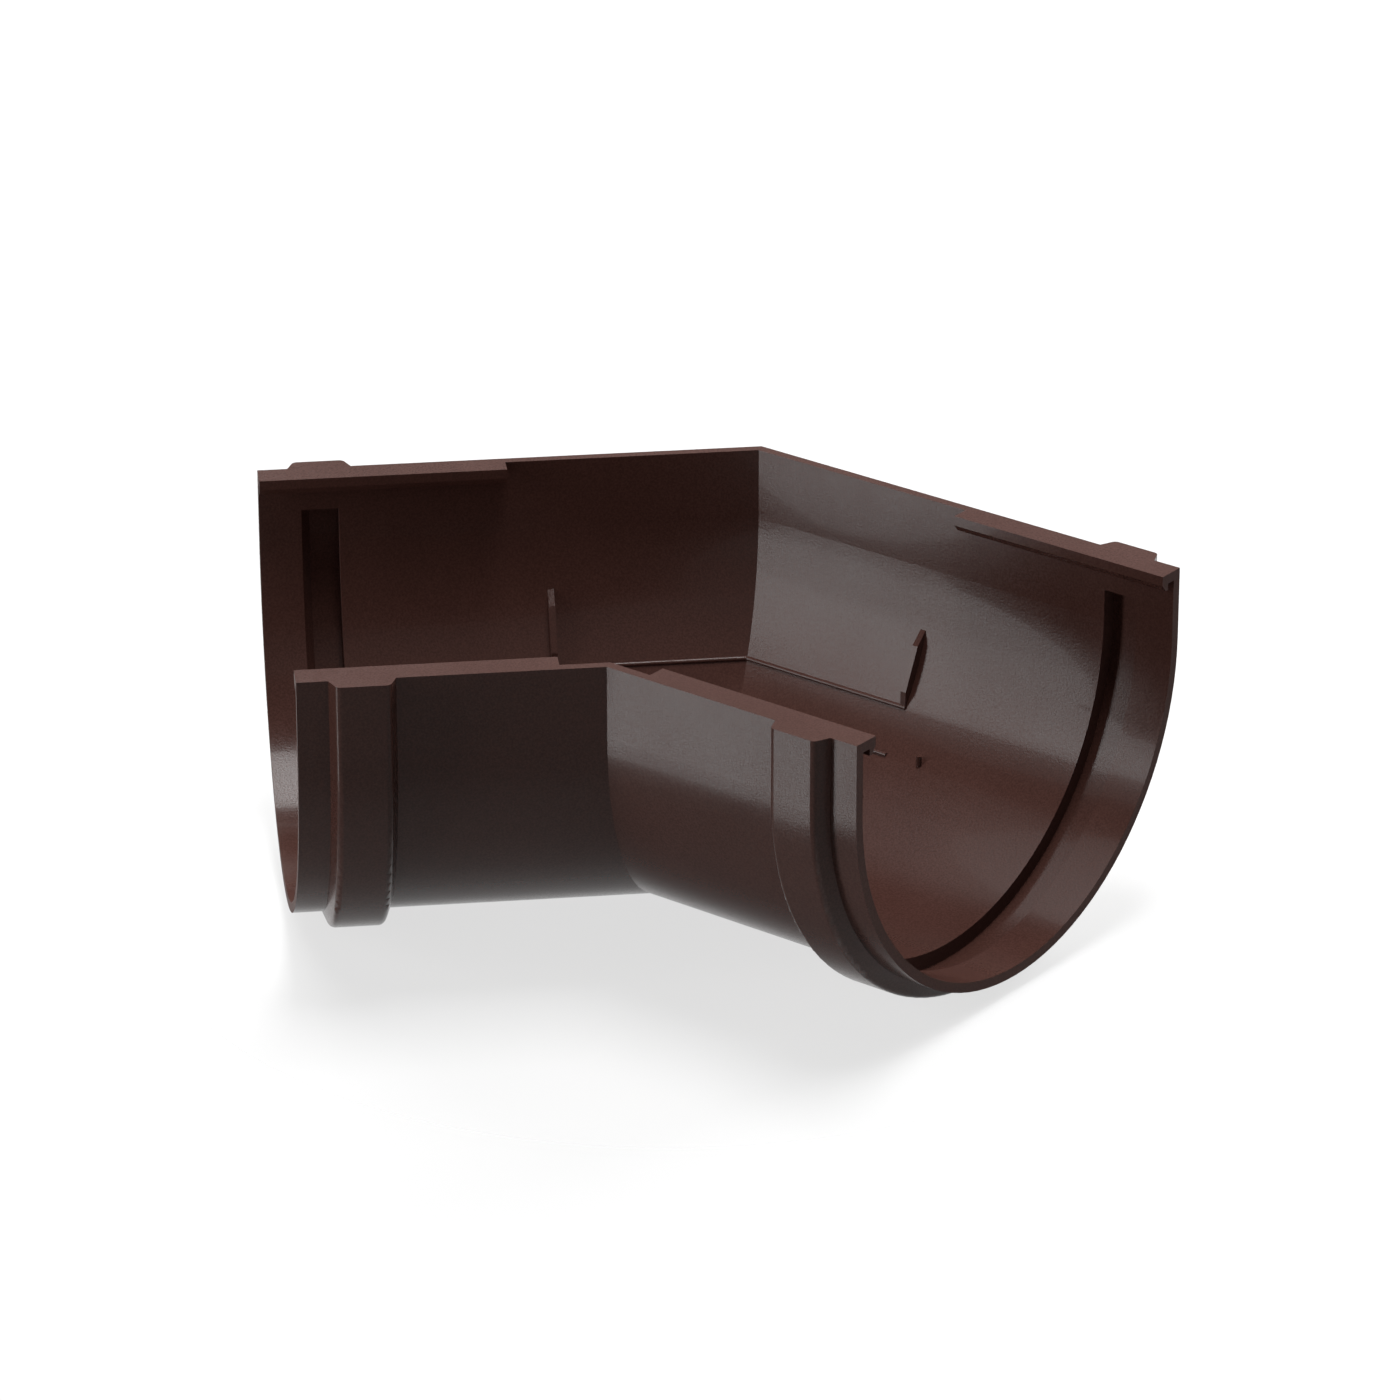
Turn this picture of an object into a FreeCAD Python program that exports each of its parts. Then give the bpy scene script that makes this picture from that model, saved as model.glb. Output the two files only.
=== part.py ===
"""Gutter angle: one moulded piece that joins two half-round gutters at an inside angle of 135 degrees.

One arm is modelled along +X with the rim on the XY plane and the channel opening upwards, the far wall on
the +Y side and the near wall on the -Y side. It is cut at the mitre and mirrored there into the other arm.
"""
import FreeCAD, Part
import math
import os
import re
import Sketcher

# Driving dimensions in millimetres, angles in degrees.
SIZES = {
    "gutter_width": 125.0,      # outside width of the gutter that slides into each arm
    "fit_clearance": 0.5,       # room between the gutter and each wall
    "wall": 2.5,
    "side_height": 18.5,        # straight upper part of the walls, above the half round
    "arm_length": 100.0,        # from the crossing of the centre lines to the end face
    "turn": 45.0,               # change of direction from one arm to the other
    "hook_length": 62.0,        # hooked part of each rim, measured from the end face
    "hook_gap": 2.45,           # slot between the wall and the lip, for the gutter's edge
    "flange": 2.5,              # thickness of the hook's top
    "lip": 2.35,
    "lip_tip": 0.9,             # flat at the bottom of the lip, below its lead-in slope
    "lip_drop": 4.2,            # from the rim to the bottom of the lip
    "lip_face": 2.45,           # from the rim to the start of the lead-in slope
    "collar_inset": 7.5,        # from the end face to the foot of the collar
    "collar_foot": 15.9,        # width of the collar where it leaves the wall
    "collar_rise": 4.1,
    "collar_flank": 1.7,        # how far each flank leans in over the rise
    "collar_round": 1.6,        # rounding between flank and crown
    "groove_inset": 10.6,       # from the end face to the groove's edge
    "groove_width": 9.5,
    "groove_depth": 4.0,
    "groove_slope": 2.2,        # how far the groove's outer side leans over its depth
    "groove_drop": 10.3,        # from the rim to the closed ends of the groove
    "stop_margin": 1.75,        # from the inner corner to the face that the gutter stops at
    "stop_thickness": 1.55,
    "stop_height": 2.3,
    "stop_middle": 24.0,        # angle below the horizontal, seen from the axis of the half round
    "stop_crest": 5.6,          # half angle of the rib's crest
    "stop_foot": 11.2,          # half angle of the rib's foot, inside the wall
    "bead_radius": 0.6,
    "bead_first": 32.8,         # angle of the highest bead below the horizontal
    "bead_pitch": 11.65,        # angle from one bead to the next
    "stud_diameter": 1.4,
    "stud_height": 2.5,
    "stud_offset": 10.0,        # from the stop face to the stud
}
BEAD_COUNT = 3
STUD_BEAD = 1                   # the stud stands in line with this bead, counted from 0

# Derived sizes, as expressions of the cells.
INNER_RADIUS = "(gutter_width / 2 + fit_clearance)"
OUTER_RADIUS = f"({INNER_RADIUS} + wall)"
BURIED_RADIUS = f"({INNER_RADIUS} + wall / 2)"
CORNER_REACH = f"({OUTER_RADIUS} * tan(turn / 2))"
STOP_FACE = f"({INNER_RADIUS} * tan(turn / 2) + stop_margin)"

doc = FreeCAD.newDocument("GutterAngle")
sheet = doc.addObject("Spreadsheet::Sheet", "Sizes")
for row, (alias, value) in enumerate(SIZES.items(), start=1):
    sheet.set(f"A{row}", alias)
    sheet.set(f"B{row}", str(value))
    sheet.setAlias(f"B{row}", alias)
doc.recompute()

body = doc.addObject("PartDesign::Body", "gutter_angle")
body.Label = "gutter_angle"


def cells(expression):
    """The expression with every alias written as a cell of the sheet."""
    def cell(word):
        return f"Sizes.{word[0]}" if word[0] in SIZES else word[0]

    return re.sub(r"[a-z_]+", cell, expression)


def number(expression):
    """The present value of an expression of the cells."""
    return float(body.evalExpression(cells(expression)))


def bind(item, path, expression):
    item.setExpression(path, cells(expression))


def new_sketch(name, plane, offset="0"):
    """A sketch on one of the body's origin planes, moved along the plane's normal."""
    sketch = body.newObject("Sketcher::SketchObject", name)
    origin_plane = next(item for item in body.Origin.OriginFeatures if item.Role == plane)
    sketch.AttachmentSupport = [(origin_plane, "")]
    sketch.MapMode = "FlatFace"
    bind(sketch, ".AttachmentOffset.Base.z", offset)
    return sketch


def dimension(sketch, constraint, name, expression):
    """Adds a dimension to a sketch and ties it to the cells."""
    index = sketch.addConstraint(constraint)
    sketch.renameConstraint(index, name)
    bind(sketch, f".Constraints.{name}", expression)


def place(sketch, geometry, point, name, x, y):
    """Fixes a point of a sketch at (x, y), both expressions."""
    for axis, expression in (("X", x), ("Y", y)):
        value = number(expression)
        constraint = Sketcher.Constraint(f"Distance{axis}", -1, 1, geometry, point, value)
        dimension(sketch, constraint, f"{name}_{axis.lower()}", expression)


def add_line(sketch, start, end):
    segment = Part.LineSegment(FreeCAD.Vector(*start, 0), FreeCAD.Vector(*end, 0))
    return sketch.addGeometry(segment, False)


def outline(sketch, name, corners):
    """A closed outline. Each corner is (x, y) or (x, y, radius), all expressions."""
    count = len(corners)
    spots = [(number(corner[0]), number(corner[1])) for corner in corners]
    lines = [add_line(sketch, spots[here], spots[(here + 1) % count]) for here in range(count)]
    for here, corner in enumerate(corners):
        before, after = lines[here - 1], lines[here]
        label = f"{name}{here}"
        if len(corner) == 2:
            sketch.addConstraint(Sketcher.Constraint("Coincident", before, 2, after, 1))
            place(sketch, after, 1, label, *corner)
            continue
        tip = sketch.addGeometry(Part.Point(FreeCAD.Vector(*spots[here], 0)), True)
        place(sketch, tip, 1, label, *corner[:2])
        round_corner(sketch, label, before, after, tip, corner[2])


def round_corner(sketch, label, before, after, tip, radius):
    """Joins two lines by a tangent arc that rounds off the corner at the point tip."""
    size = number(radius)
    back = sketch.Geometry[before]
    front = sketch.Geometry[after]
    corner = FreeCAD.Vector(front.StartPoint)
    arrive = (corner - back.StartPoint).normalize()
    leave = (front.EndPoint - corner).normalize()
    bend = arrive.getAngle(leave)
    left = arrive.cross(leave).z > 0
    normal = FreeCAD.Vector(-arrive.y, arrive.x, 0) * (1 if left else -1)
    start = corner - arrive * size * math.tan(bend / 2)
    centre = start + normal * size
    first = math.atan2(start.y - centre.y, start.x - centre.x)
    sweep = (first, first + bend) if left else (first - bend, first)
    circle = Part.Circle(centre, FreeCAD.Vector(0, 0, 1), size)
    arc = sketch.addGeometry(Part.ArcOfCircle(circle, *sweep), False)
    begin, finish = (1, 2) if left else (2, 1)
    sketch.addConstraint(Sketcher.Constraint("PointOnObject", tip, 1, before))
    sketch.addConstraint(Sketcher.Constraint("PointOnObject", tip, 1, after))
    sketch.addConstraint(Sketcher.Constraint("Tangent", before, 2, arc, begin))
    sketch.addConstraint(Sketcher.Constraint("Tangent", arc, finish, after, 1))
    dimension(sketch, Sketcher.Constraint("Radius", arc, size), f"{label}_round", radius)


def half_round(sketch, name, radius, top):
    """An open U: two straight sides from the height top down to a half circle. Returns both sides."""
    size, height, axis = number(radius), number(top), -number("side_height")
    circle = Part.Circle(FreeCAD.Vector(0, axis, 0), FreeCAD.Vector(0, 0, 1), size)
    near = add_line(sketch, (-size, height), (-size, axis))
    arc = sketch.addGeometry(Part.ArcOfCircle(circle, math.pi, 2 * math.pi), False)
    far = add_line(sketch, (size, axis), (size, height))
    sketch.addConstraint(Sketcher.Constraint("Tangent", near, 2, arc, 1))
    sketch.addConstraint(Sketcher.Constraint("Tangent", arc, 2, far, 1))
    sketch.addConstraint(Sketcher.Constraint("Vertical", near))
    sketch.addConstraint(Sketcher.Constraint("Vertical", far))
    place(sketch, arc, 3, f"{name}_axis", "0", "-side_height")
    dimension(sketch, Sketcher.Constraint("Radius", arc, size), f"{name}_radius", radius)
    for side, line, point in (("near", near, 1), ("far", far, 2)):
        constraint = Sketcher.Constraint("DistanceY", -1, 1, line, point, height)
        dimension(sketch, constraint, f"{name}_{side}_top", top)
    return near, far


def pad(name, sketch, length):
    feature = body.newObject("PartDesign::Pad", name)
    feature.Profile = sketch
    bind(feature, "Length", length)
    doc.recompute()
    return feature


def pipe(kind, name, profile, path):
    feature = body.newObject(f"PartDesign::{kind}Pipe", name)
    feature.Profile = profile
    feature.Spine = path
    doc.recompute()
    return feature


def polar(radius, angle):
    """Sketch coordinates of a point of the section, seen from the axis of the half round."""
    return f"{radius} * cos({angle})", f"-side_height - {radius} * sin({angle})"


def add_channel():
    """The U-shaped wall of the arm, long enough to reach past the mitre."""
    section = new_sketch("ChannelSection", "YZ_Plane", f"-{CORNER_REACH}")
    outer = half_round(section, "outer", OUTER_RADIUS, "0")
    inner = half_round(section, "inner", INNER_RADIUS, "0")
    for side, point in ((0, 1), (1, 2)):
        ends = [section.getPoint(line[side], point) for line in (outer, inner)]
        rim = section.addGeometry(Part.LineSegment(*ends), False)
        section.addConstraint(Sketcher.Constraint("Coincident", outer[side], point, rim, 1))
        section.addConstraint(Sketcher.Constraint("Coincident", inner[side], point, rim, 2))
    pad("Channel", section, f"arm_length + {CORNER_REACH}")


def add_hooks():
    """Rims bent over inwards near the end, which hold the gutter's edges."""
    section = new_sketch("HookSection", "YZ_Plane", "arm_length - hook_length")
    slot = f"({INNER_RADIUS} - hook_gap)"
    for name, sign in (("far", 1), ("near", -1)):
        across = [
            (BURIED_RADIUS, "0"),
            (f"({slot} - lip)", "0"),
            (f"({slot} - lip)", "-lip_face"),
            (f"({slot} - lip_tip)", "-lip_drop"),
            (slot, "-lip_drop"),
            (slot, "-flange"),
            (BURIED_RADIUS, "-flange"),
        ]
        outline(section, name, [(f"{sign} * {x}", y) for x, y in across])
    pad("Hooks", section, "hook_length")


def add_collar():
    """Raised band round the outside of the arm, up to the rim on both sides."""
    foot = "(arm_length - collar_inset)"
    heel = f"({foot} - collar_foot)"
    crown = f"({OUTER_RADIUS} + collar_rise)"
    profile = new_sketch("CollarProfile", "XY_Plane")
    outline(profile, "collar", [
        (foot, BURIED_RADIUS),
        (foot, OUTER_RADIUS),
        (f"{foot} - collar_flank", crown, "collar_round"),
        (f"{heel} + collar_flank", crown, "collar_round"),
        (heel, OUTER_RADIUS),
        (heel, BURIED_RADIUS),
    ])
    path = new_sketch("CollarPath", "YZ_Plane", f"{foot} - collar_foot / 2")
    half_round(path, "path", OUTER_RADIUS, "0")
    pipe("Additive", "Collar", profile, path)


def cut_groove():
    """Seat for a seal inside the collar, closed at both ends below the rim."""
    edge = "(arm_length - groove_inset)"
    back = f"({edge} - groove_width)"
    floor = f"({INNER_RADIUS} + groove_depth)"
    mouth = f"({INNER_RADIUS} - wall / 2)"
    profile = new_sketch("GrooveProfile", "XY_Plane", "-groove_drop")
    outline(profile, "groove", [
        (edge, mouth),
        (edge, INNER_RADIUS),
        (f"{edge} - groove_slope", floor),
        (back, floor),
        (back, mouth),
    ])
    path = new_sketch("GroovePath", "YZ_Plane", f"{edge} - groove_width / 2")
    half_round(path, "path", INNER_RADIUS, "-groove_drop")
    pipe("Subtractive", "Groove", profile, path)


def add_stop_rib():
    """Rib across the far wall that the end of the gutter comes up against."""
    section = new_sketch("StopSection", "YZ_Plane", f"{STOP_FACE} - stop_thickness")
    crest = f"({INNER_RADIUS} - stop_height)"
    outline(section, "stop", [
        polar(BURIED_RADIUS, "(stop_middle - stop_foot)"),
        polar(crest, "(stop_middle - stop_crest)"),
        polar(crest, "(stop_middle + stop_crest)"),
        polar(BURIED_RADIUS, "(stop_middle + stop_foot)"),
    ])
    pad("StopRib", section, "stop_thickness")


def bead_angle(index):
    return f"(bead_first + {index} * bead_pitch)"


def add_beads():
    """Thin round beads along the far side of the floor, from the corner to the stop face."""
    section = new_sketch("BeadSection", "YZ_Plane", f"-{CORNER_REACH}")
    size = number("bead_radius")
    for index in range(BEAD_COUNT):
        x, y = polar(INNER_RADIUS, bead_angle(index))
        centre = FreeCAD.Vector(number(x), number(y), 0)
        circle = section.addGeometry(Part.Circle(centre, FreeCAD.Vector(0, 0, 1), size), False)
        place(section, circle, 3, f"bead{index}", x, y)
        constraint = Sketcher.Constraint("Radius", circle, size)
        dimension(section, constraint, f"bead{index}_radius", "bead_radius")
    pad("Beads", section, f"{CORNER_REACH} + {STOP_FACE}")


def add_stud():
    """Small upright stud on the floor, past the stop face."""
    across, floor = polar(INNER_RADIUS, bead_angle(STUD_BEAD))
    section = new_sketch("StudSection", "XY_Plane", f"{floor} - wall / 2")
    along = f"{STOP_FACE} + stud_offset"
    size = number("stud_diameter / 2")
    centre = FreeCAD.Vector(number(along), number(across), 0)
    circle = section.addGeometry(Part.Circle(centre, FreeCAD.Vector(0, 0, 1), size), False)
    place(section, circle, 3, "stud", along, across)
    dimension(section, Sketcher.Constraint("Radius", circle, size), "stud_radius", "stud_diameter / 2")
    pad("Stud", section, "stud_height + wall / 2")


def mitre_and_mirror():
    """Cuts the arm at the mitre and mirrors it there into the second arm."""
    reach = f"({OUTER_RADIUS} + collar_rise + arm_length)"
    mitre = new_sketch("Mitre", "XY_Plane")
    half_turn = FreeCAD.Rotation(FreeCAD.Vector(0, 0, 1), number("turn / 2"))
    mitre.AttachmentOffset = FreeCAD.Placement(FreeCAD.Vector(), half_turn)
    bind(mitre, ".AttachmentOffset.Rotation.Angle", "turn / 2")
    outline(mitre, "mitre", [
        ("0", f"-{reach}"),
        ("0", reach),
        (f"-{reach}", reach),
        (f"-{reach}", f"-{reach}"),
    ])
    cut = body.newObject("PartDesign::Pocket", "MitreCut")
    cut.Profile = mitre
    cut.Type = "ThroughAll"
    cut.SideType = "Symmetric"
    doc.recompute()
    mirrored = body.newObject("PartDesign::Mirrored", "SecondArm")
    mirrored.TransformMode = "Whole shape"
    mirrored.MirrorPlane = (mitre, ["V_Axis"])
    body.Tip = mirrored
    doc.recompute()


def set_down():
    """Turns the corner away along +Y and puts the origin under the middle of the piece."""
    level = FreeCAD.Rotation(FreeCAD.Vector(0, 0, 1), -number("turn / 2"))
    body.Placement = FreeCAD.Placement(FreeCAD.Vector(), level)
    box = body.Shape.optimalBoundingBox()
    shift = FreeCAD.Vector(-box.Center.x, -box.Center.y, -box.ZMin)
    body.Placement = FreeCAD.Placement(shift, level)
    doc.recompute()


def check_and_export():
    for item in doc.Objects:
        if "Invalid" in item.State or "Error" in item.State:
            raise RuntimeError(f"{item.Name} failed: {item.State}")
    shape = body.Shape
    if shape.isNull() or not shape.isValid() or len(shape.Solids) != 1:
        raise RuntimeError(f"{body.Label} is not one valid solid")
    os.makedirs("parts", exist_ok=True)
    shape.exportStep(f"parts/{body.Label}.step")
    box = shape.optimalBoundingBox()
    print(body.Label, "volume", round(shape.Volume), "box", box)


add_channel()
add_hooks()
add_collar()
cut_groove()
add_stop_rib()
add_beads()
add_stud()
mitre_and_mirror()
set_down()
check_and_export()
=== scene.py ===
"""Looks of the gutter angle: satin brown PVC on a pale studio floor, seen as in the photograph.

Lengths are in metres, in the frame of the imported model: +Z up, the part standing on z = 0.
"""
import math

import bpy
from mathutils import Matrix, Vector

# Camera, solved from the photograph's edges.
VIEW_AIM = Vector((0.0003, 0.0248, 0.0441))
VIEW_AZIMUTH = math.radians(15.257)
VIEW_ELEVATION = math.radians(24.248)
VIEW_DISTANCE = 1.7342
SENSOR_WIDTH = 36.0
LENS = 180.63

# Floor: a pale sheet, denser under the part and clearer further out.
FLOOR_SIZE = 30.0
FLOOR_COLOUR = (0.9, 0.9, 0.9, 1.0)
FLOOR_DENSE = 0.3               # share that scatters light under the part, the rest is clear
FLOOR_THIN = 0.2                # the same far from it
FLOOR_DENSE_RADIUS = 0.10
FLOOR_THIN_RADIUS = 0.18

# Surroundings: a white backdrop behind the part, pale grey beside and in front of it, and a dim ceiling.
# Far below the horizon lies the ground, darker on the left and paler on the right.
# Sides are parts of a direction of length 1.
WHITE = (1.0, 1.0, 1.0, 1.0)
BACKDROP_TOP = math.radians(8.0)
CEILING_START = math.radians(22.0)
CEILING_LEVEL = 0.3
GREY_LEVEL = 0.45
GROUND_START = math.radians(-33.0)
GROUND_END = math.radians(-58.0)
GROUND_LEVELS = (0.25, 0.72)
GROUND_SIDES = (-0.50, -0.05)   # X between which the ground turns from dark to pale
BACKDROP_SIDES = (0.35, 0.75)   # Y between which the grey turns white
WORLD_LIGHT = 0.03              # strength of the plain light that falls on the part from all round

# Soft boxes: azimuth and elevation of their middle in degrees, distance, width and height in metres,
# and radiance.
LAMPS = {
    "key": (-57.5, 1.7, 1.4, 0.30, 1.68, 7.8),
    "key_edge": (-57.5, 37.0, 1.4, 0.30, 0.22, 1.2),
    "top": (109.4, 86.8, 1.1, 0.58, 0.29, 19.5),
    "left_top": (-112.0, 66.0, 1.4, 1.13, 0.30, 3.0),
    "back_left": (-135.0, 28.0, 1.4, 0.75, 0.70, 6.0),
    "back_right": (152.0, 28.0, 1.4, 0.96, 0.70, 8.5),
    "front_right": (45.0, 28.0, 1.4, 1.00, 0.70, 0.3),
}

# Brown PVC: the mould leaves a fine grain, and the melt a faint mottle.
# Each varies the tone and the roughness.
PVC_BROWN = (0.0640, 0.0276, 0.0218)
PVC_SPECULAR = 0.14
PVC_ROUGHNESS = 0.20
SKIN_WEIGHT = 0.05              # faint sharp reflection of the moulded skin
SKIN_ROUGHNESS = 0.04
GRAIN_SIZE = 0.0005
GRAIN_DETAIL = 1.0
GRAIN_DEPTH = 0.000022
GRAIN_TONE = 0.14               # largest share by which a grain is paler or darker
GRAIN_GLOSS = 0.22              # the same for its roughness
MOTTLE_SIZE = 0.020
MOTTLE_DETAIL = 4.0
MOTTLE_TONE = 0.04
MOTTLE_GLOSS = 0.10
NOISE_SPREAD = (0.25, 0.75)     # where nearly all of a noise texture's values lie

# End faces: duller than the walls. They face along the arms, which lie this far off the X axis.
ARM_TURN = math.radians(22.5)
END_ROUGHNESS = 0.7
END_LIMITS = (0.985, 0.995)     # cosine between a face's normal and the arm, where the dull finish starts


def direction(azimuth, elevation):
    """Unit vector to a place in the surroundings. Azimuth 0 is in front, along -Y, and grows to the right."""
    level = math.cos(elevation)
    return Vector((level * math.sin(azimuth), -level * math.cos(azimuth), math.sin(elevation)))


def look(item, place, aim):
    """Puts a camera or lamp at a place and turns it to the aim."""
    item.location = place
    item.rotation_euler = (aim - place).to_track_quat("-Z", "Y").to_euler()


def add_object(name, data):
    item = bpy.data.objects.new(name, data)
    bpy.context.scene.collection.objects.link(item)
    return item


def add_camera():
    data = bpy.data.cameras.new("photo_camera")
    data.sensor_width = SENSOR_WIDTH
    data.lens = LENS
    data.clip_end = FLOOR_SIZE
    camera = add_object("photo_camera", data)
    look(camera, VIEW_AIM + VIEW_DISTANCE * direction(VIEW_AZIMUTH, VIEW_ELEVATION), VIEW_AIM)
    bpy.context.scene.camera = camera


def new_material(name):
    material = bpy.data.materials.new(name)
    material.use_nodes = True
    material.node_tree.nodes.clear()
    return material, material.node_tree.nodes, material.node_tree.links


def map_range(nodes, links, value, source, target):
    """Takes a value from one range to another, smoothly and without leaving it."""
    node = nodes.new("ShaderNodeMapRange")
    node.interpolation_type = "SMOOTHSTEP"
    node.inputs["From Min"].default_value = source[0]
    node.inputs["From Max"].default_value = source[1]
    node.inputs["To Min"].default_value = target[0]
    node.inputs["To Max"].default_value = target[1]
    links.new(value, node.inputs["Value"])
    return node.outputs["Result"]


def floor_material():
    """A pale sheet that takes the shadow and lets part of the white surroundings through."""
    material, nodes, links = new_material("pale_sheet")
    place = nodes.new("ShaderNodeTexCoord")
    distance = nodes.new("ShaderNodeVectorMath")
    distance.operation = "LENGTH"
    links.new(place.outputs["Object"], distance.inputs[0])
    share = map_range(
        nodes, links, distance.outputs["Value"],
        (FLOOR_DENSE_RADIUS, FLOOR_THIN_RADIUS), (FLOOR_DENSE, FLOOR_THIN),
    )
    clear = nodes.new("ShaderNodeBsdfTransparent")
    pale = nodes.new("ShaderNodeBsdfDiffuse")
    pale.inputs["Color"].default_value = FLOOR_COLOUR
    mix = nodes.new("ShaderNodeMixShader")
    output = nodes.new("ShaderNodeOutputMaterial")
    links.new(share, mix.inputs["Fac"])
    links.new(clear.outputs["BSDF"], mix.inputs[1])
    links.new(pale.outputs["BSDF"], mix.inputs[2])
    links.new(mix.outputs["Shader"], output.inputs["Surface"])
    return material


def add_floor():
    half = FLOOR_SIZE / 2
    mesh = bpy.data.meshes.new("floor")
    corners = [(-half, -half, 0), (half, -half, 0), (half, half, 0), (-half, half, 0)]
    mesh.from_pydata(corners, [], [(0, 1, 2, 3)])
    mesh.materials.append(floor_material())
    add_object("floor", mesh)


def combine(nodes, links, operation, first, second):
    node = nodes.new("ShaderNodeMath")
    node.operation = operation
    links.new(first, node.inputs[0])
    links.new(second, node.inputs[1])
    return node.outputs["Value"]


def add_world():
    """Plain light from all round. The camera, reflections and clear things see the surroundings instead."""
    world = bpy.data.worlds.new("studio")
    world.use_nodes = True
    bpy.context.scene.world = world
    nodes, links = world.node_tree.nodes, world.node_tree.links
    nodes.clear()
    path = nodes.new("ShaderNodeLightPath")
    seen = combine(nodes, links, "MAXIMUM", path.outputs["Is Camera Ray"], path.outputs["Is Glossy Ray"])
    seen = combine(nodes, links, "MAXIMUM", seen, path.outputs["Is Transmission Ray"])
    place = nodes.new("ShaderNodeTexCoord")
    split = nodes.new("ShaderNodeSeparateXYZ")
    links.new(place.outputs["Generated"], split.inputs["Vector"])
    depth = map_range(nodes, links, split.outputs["Y"], BACKDROP_SIDES, (GREY_LEVEL, 1.0))
    sink = (math.sin(GROUND_END), math.sin(GROUND_START))
    share = map_range(nodes, links, split.outputs["Z"], sink, (1.0, 0.0))
    ground = map_range(nodes, links, split.outputs["X"], GROUND_SIDES, GROUND_LEVELS)
    step = combine(nodes, links, "MULTIPLY", combine(nodes, links, "SUBTRACT", ground, depth), share)
    rise = (math.sin(BACKDROP_TOP), math.sin(CEILING_START))
    height = map_range(nodes, links, split.outputs["Z"], rise, (1.0, CEILING_LEVEL))
    level = combine(nodes, links, "MULTIPLY", combine(nodes, links, "ADD", depth, step), height)
    light = nodes.new("ShaderNodeBackground")
    light.inputs["Color"].default_value = WHITE
    light.inputs["Strength"].default_value = WORLD_LIGHT
    backdrop = nodes.new("ShaderNodeBackground")
    backdrop.inputs["Color"].default_value = WHITE
    links.new(level, backdrop.inputs["Strength"])
    mix = nodes.new("ShaderNodeMixShader")
    output = nodes.new("ShaderNodeOutputWorld")
    links.new(seen, mix.inputs["Fac"])
    links.new(light.outputs["Background"], mix.inputs[1])
    links.new(backdrop.outputs["Background"], mix.inputs[2])
    links.new(mix.outputs["Shader"], output.inputs["Surface"])


def add_lamps():
    for name, (azimuth, elevation, distance, width, height, radiance) in LAMPS.items():
        data = bpy.data.lights.new(name, "AREA")
        data.shape = "RECTANGLE"
        data.size = width
        data.size_y = height
        data.energy = radiance * math.pi * width * height
        lamp = add_object(name, data)
        away = direction(math.radians(azimuth), math.radians(elevation))
        look(lamp, VIEW_AIM + distance * away, VIEW_AIM)


def noise(nodes, links, place, size, detail):
    """Noise with spots of about one size."""
    node = nodes.new("ShaderNodeTexNoise")
    node.inputs["Scale"].default_value = 1 / size
    node.inputs["Detail"].default_value = detail
    links.new(place, node.inputs["Vector"])
    return node.outputs["Fac"]


def vary(nodes, links, middle, changes):
    """A value about a middle one, which each noise makes larger and smaller by its share."""
    value = None
    for texture, share in changes:
        factor = map_range(nodes, links, texture, NOISE_SPREAD, (middle * (1 - share), middle * (1 + share)))
        value = factor if value is None else combine(nodes, links, "MULTIPLY", value, factor)
        middle = 1.0
    return value


def end_faces(nodes, links, normal):
    """END_ROUGHNESS where the normal lies along either arm, and 0 elsewhere."""
    mirrored = nodes.new("ShaderNodeVectorMath")
    mirrored.operation = "ABSOLUTE"
    links.new(normal, mirrored.inputs[0])
    cosine = nodes.new("ShaderNodeVectorMath")
    cosine.operation = "DOT_PRODUCT"
    cosine.inputs[1].default_value = (math.cos(ARM_TURN), math.sin(ARM_TURN), 0)
    links.new(mirrored.outputs["Vector"], cosine.inputs[0])
    return map_range(nodes, links, cosine.outputs["Value"], END_LIMITS, (0, END_ROUGHNESS))


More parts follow.
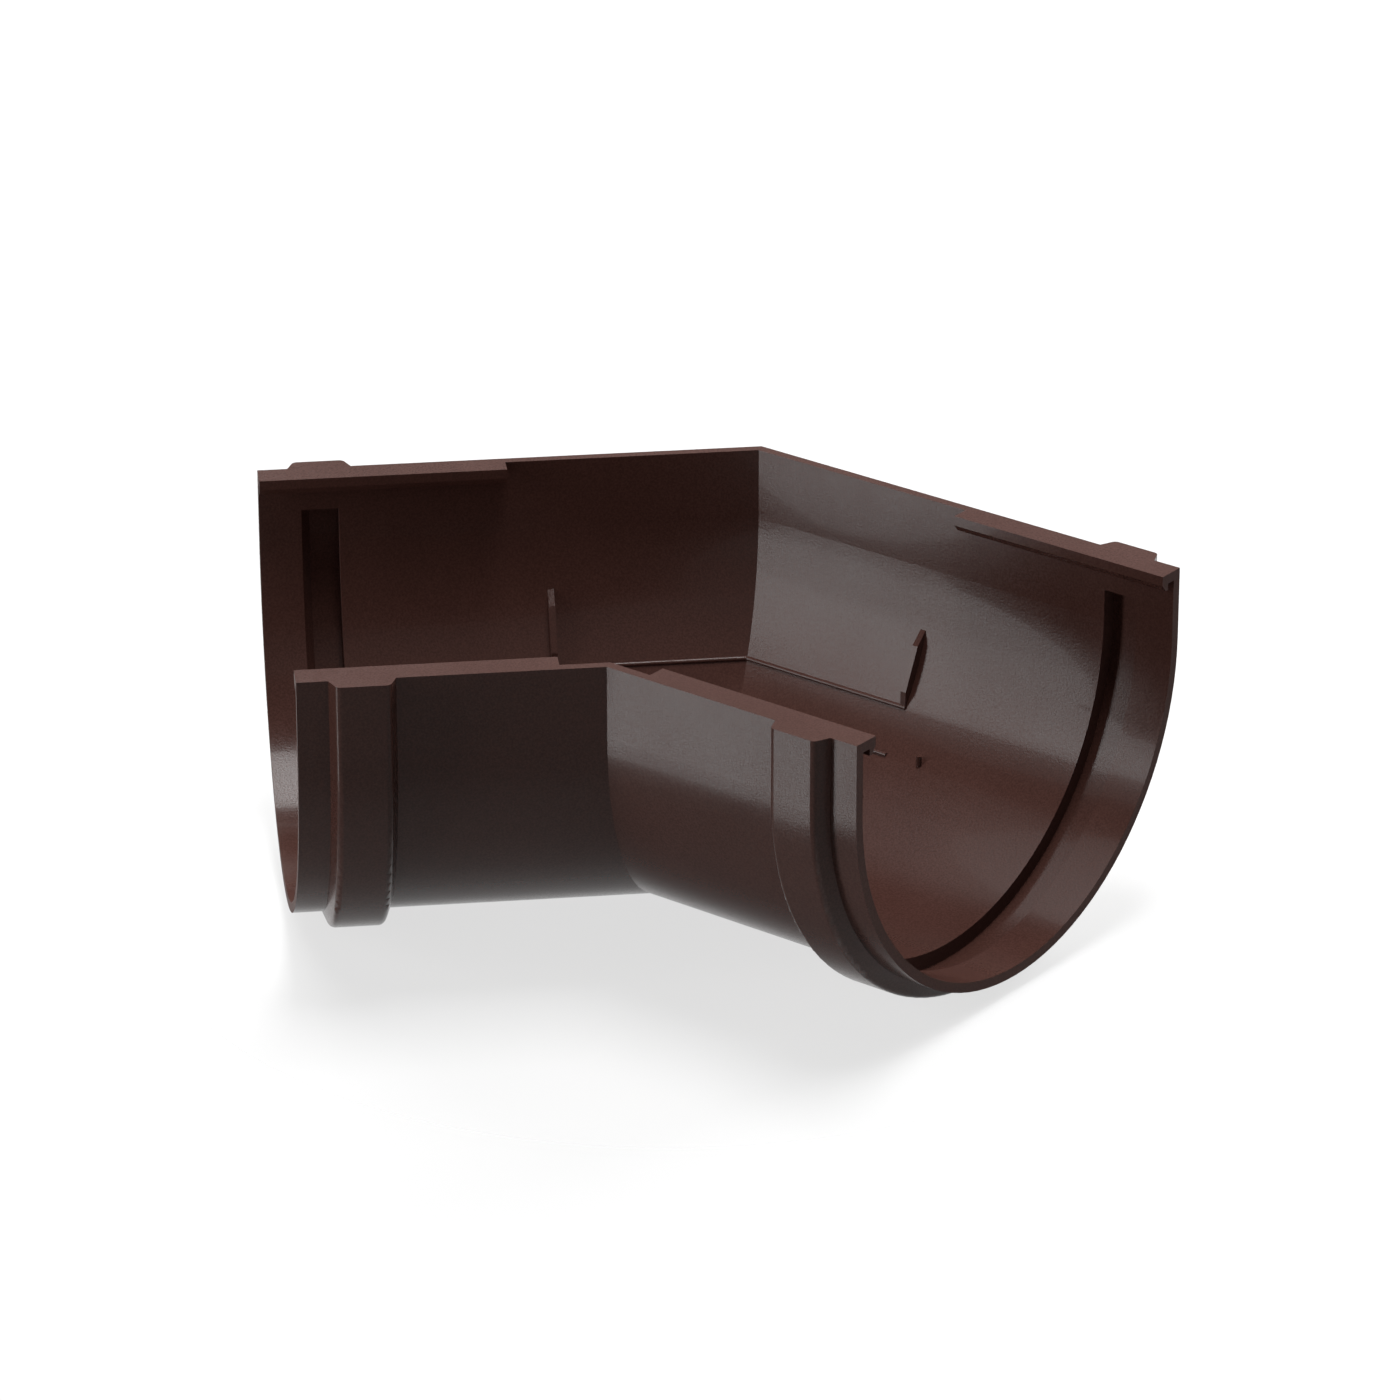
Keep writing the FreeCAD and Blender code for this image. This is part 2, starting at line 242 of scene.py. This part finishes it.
def pvc_material():
    material, nodes, links = new_material("brown_pvc")
    place = nodes.new("ShaderNodeTexCoord")
    grain = noise(nodes, links, place.outputs["Object"], GRAIN_SIZE, GRAIN_DETAIL)
    mottle = noise(nodes, links, place.outputs["Object"], MOTTLE_SIZE, MOTTLE_DETAIL)
    tint = nodes.new("ShaderNodeVectorMath")
    tint.operation = "SCALE"
    tint.inputs[0].default_value = PVC_BROWN
    tone = vary(nodes, links, 1.0, [(grain, GRAIN_TONE), (mottle, MOTTLE_TONE)])
    links.new(tone, tint.inputs["Scale"])
    bump = nodes.new("ShaderNodeBump")
    bump.inputs["Distance"].default_value = GRAIN_DEPTH
    links.new(grain, bump.inputs["Height"])
    surface = nodes.new("ShaderNodeBsdfPrincipled")
    surface.inputs["Specular IOR Level"].default_value = PVC_SPECULAR
    surface.inputs["Coat Weight"].default_value = SKIN_WEIGHT
    surface.inputs["Coat Roughness"].default_value = SKIN_ROUGHNESS
    links.new(tint.outputs["Vector"], surface.inputs["Base Color"])
    roughness = vary(nodes, links, PVC_ROUGHNESS, [(grain, GRAIN_GLOSS), (mottle, MOTTLE_GLOSS)])
    ends = end_faces(nodes, links, place.outputs["Normal"])
    links.new(combine(nodes, links, "MAXIMUM", roughness, ends), surface.inputs["Roughness"])
    links.new(bump.outputs["Normal"], surface.inputs["Normal"])
    output = nodes.new("ShaderNodeOutputMaterial")
    links.new(surface.outputs["BSDF"], output.inputs["Surface"])
    return material


def dress(node):
    node.data.materials[0] = pvc_material()


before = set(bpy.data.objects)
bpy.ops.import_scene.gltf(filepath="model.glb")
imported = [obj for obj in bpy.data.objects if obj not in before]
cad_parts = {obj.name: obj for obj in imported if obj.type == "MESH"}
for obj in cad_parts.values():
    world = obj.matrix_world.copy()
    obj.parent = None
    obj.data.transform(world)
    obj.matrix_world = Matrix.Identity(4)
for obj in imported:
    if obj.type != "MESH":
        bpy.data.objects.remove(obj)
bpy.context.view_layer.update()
bpy.context.scene.view_settings.view_transform = "Standard"
add_camera()
add_world()
add_lamps()
add_floor()
dress(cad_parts["gutter_angle"])
